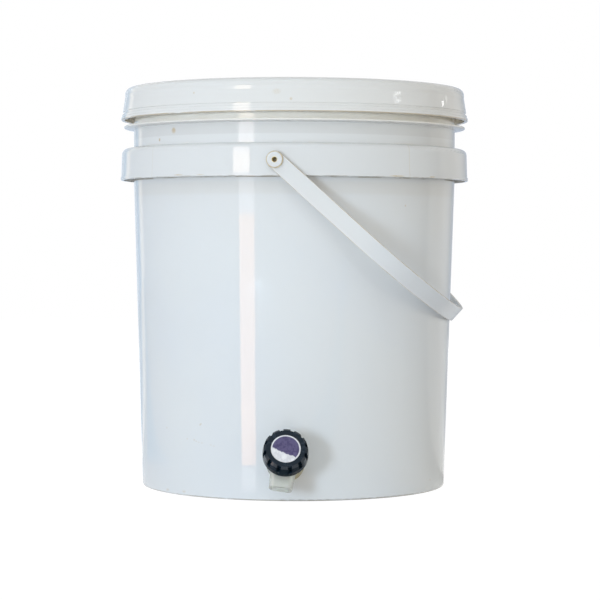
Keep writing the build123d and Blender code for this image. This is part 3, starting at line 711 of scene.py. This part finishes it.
def area_light(name, position, aim, size, power, colour):
    """A rectangular lamp that the camera doesn't see."""
    data = bpy.data.lights.new(name, "AREA")
    data.shape = "RECTANGLE"
    data.size, data.size_y = size
    data.energy = power
    data.color = colour
    lamp = bpy.data.objects.new(name, data)
    scene.collection.objects.link(lamp)
    towards = Vector(aim) - Vector(position)
    lamp.location = position
    lamp.rotation_euler = towards.to_track_quat("-Z", "Y").to_euler()
    lamp.visible_camera = False
    return lamp


def mirror_lamp(name, position, aim, size, radiance, colour):
    """A lamp that shows only as a mirror image in the gloss."""
    power = radiance * math.pi * size[0] * size[1]
    lamp = area_light(name, position, aim, size, power, colour)
    lamp.visible_diffuse = False
    lamp.visible_transmission = False


# Lamps that light the object and don't show in the gloss: angle, height, distance, size, watts and colour
BUCKET_MIDDLE = (0.0, 0.0, 0.18)
for name, angle, z, distance, size, power, colour in (
    ("key_left", -18.2, 0.29, 2.55, (0.36, 0.5), 19.5, KEY_COLOUR),
    ("overhead", -5.0, 1.85, 1.85, (1.2, 0.9), 6.7, OVERHEAD_COLOUR),
    ("fill_front", 8.0, 0.17, 2.3, (1.4, 0.3), 2.2, FILL_COLOUR),
    ("fill_back", 182.0, 0.7, 2.5, (1.6, 0.9), 13.0, BACK_COLOUR),
):
    lamp = area_light(name, point_round(angle, z, distance), BUCKET_MIDDLE, size, power, colour)
    lamp.visible_glossy = False

# The tall window, which shows as the bright streak down the side: low, high, radiance and colour of each part
for name, low, high, radiance, colour in (
    ("window_foot", 0.0, 0.06, 5.3, (1.0, 0.54, 0.32)),
    ("window_knee", 0.06, 0.13, 4.9, (1.0, 0.53, 0.30)),
    ("window_low", 0.13, 0.2345, 4.5, (1.0, 0.52, 0.29)),
    ("window_middle", 0.2345, 0.285, 2.1, (0.95, 0.90, 0.95)),
    ("window_band", 0.285, 0.3135, 5.9, (1.0, 0.82, 0.68)),
    ("window_neck", 0.3135, 0.334, 4.0, (1.0, 0.90, 0.92)),
    ("window_lid", 0.334, 0.372, 5.7, (1.0, 0.82, 0.68)),
):
    spot = Vector(point_round(WINDOW_TURN, (low + high) / 2, WINDOW_DISTANCE))
    aim = spot - Vector(point_round(WINDOW_FACING, 0.0, 1.0))
    mirror_lamp(name, spot, aim, (WINDOW_WIDTH, high - low), radiance, colour)

# Small panes on the right, which show as glints on the lid's skirt: angle, height, distance, size and radiance
SKIRT_MIDDLE = (0.0, 0.0, 0.345)
for name, angle, z, distance, size, radiance in (
    ("pane_head", 68.6, 0.4722, 0.508, (0.052, 0.0030), 5.0),
    ("pane_stile", 67.4, 0.4682, 0.508, (0.020, 0.0060), 1.8),
    ("pane_foot", 68.8, 0.4642, 0.508, (0.044, 0.0025), 5.0),
    ("pane_side", 108.1, 0.4272, 0.481, (0.022, 0.0055), 4.0),
    ("pane_far", 113.5, 0.4272, 0.481, (0.016, 0.0060), 1.6),
):
    mirror_lamp(name, point_round(angle, z, distance), SKIRT_MIDDLE, size, radiance, PANE_COLOUR)

# Camera: level with the upper half of the bucket, long lens, at the photograph's angle
IMAGE_SIZE = 600
FOCAL_PIXELS = 2093.0
SENSOR = 36.0
CAMERA_TURN = 5.9
CAMERA_DISTANCE = 1.9
CAMERA_HEIGHT = 0.2165
CAMERA_PITCH = math.radians(1.5)
CAMERA_ROLL = math.radians(0.2)
AXIS_PIXEL = 293.9

eye = Vector(point_round(CAMERA_TURN, CAMERA_HEIGHT, CAMERA_DISTANCE))
level = -Vector(point_round(CAMERA_TURN, 0.0, 1.0))
right = Vector(point_round(CAMERA_TURN + 90.0, 0.0, 1.0))
forward = level * math.cos(CAMERA_PITCH) - UP * math.sin(CAMERA_PITCH)
upward = right.cross(forward)
turned_right = right * math.cos(CAMERA_ROLL) + upward * math.sin(CAMERA_ROLL)
turned_up = upward * math.cos(CAMERA_ROLL) - right * math.sin(CAMERA_ROLL)
camera_data = bpy.data.cameras.new("camera")
camera_data.sensor_width = SENSOR
camera_data.lens = FOCAL_PIXELS / IMAGE_SIZE * SENSOR
camera_data.shift_x = (IMAGE_SIZE / 2 - AXIS_PIXEL) / IMAGE_SIZE
camera = bpy.data.objects.new("camera", camera_data)
scene.collection.objects.link(camera)
basis = Matrix((turned_right, turned_up, -forward)).transposed().to_4x4()
camera.matrix_world = Matrix.Translation(eye) @ basis
scene.camera = camera
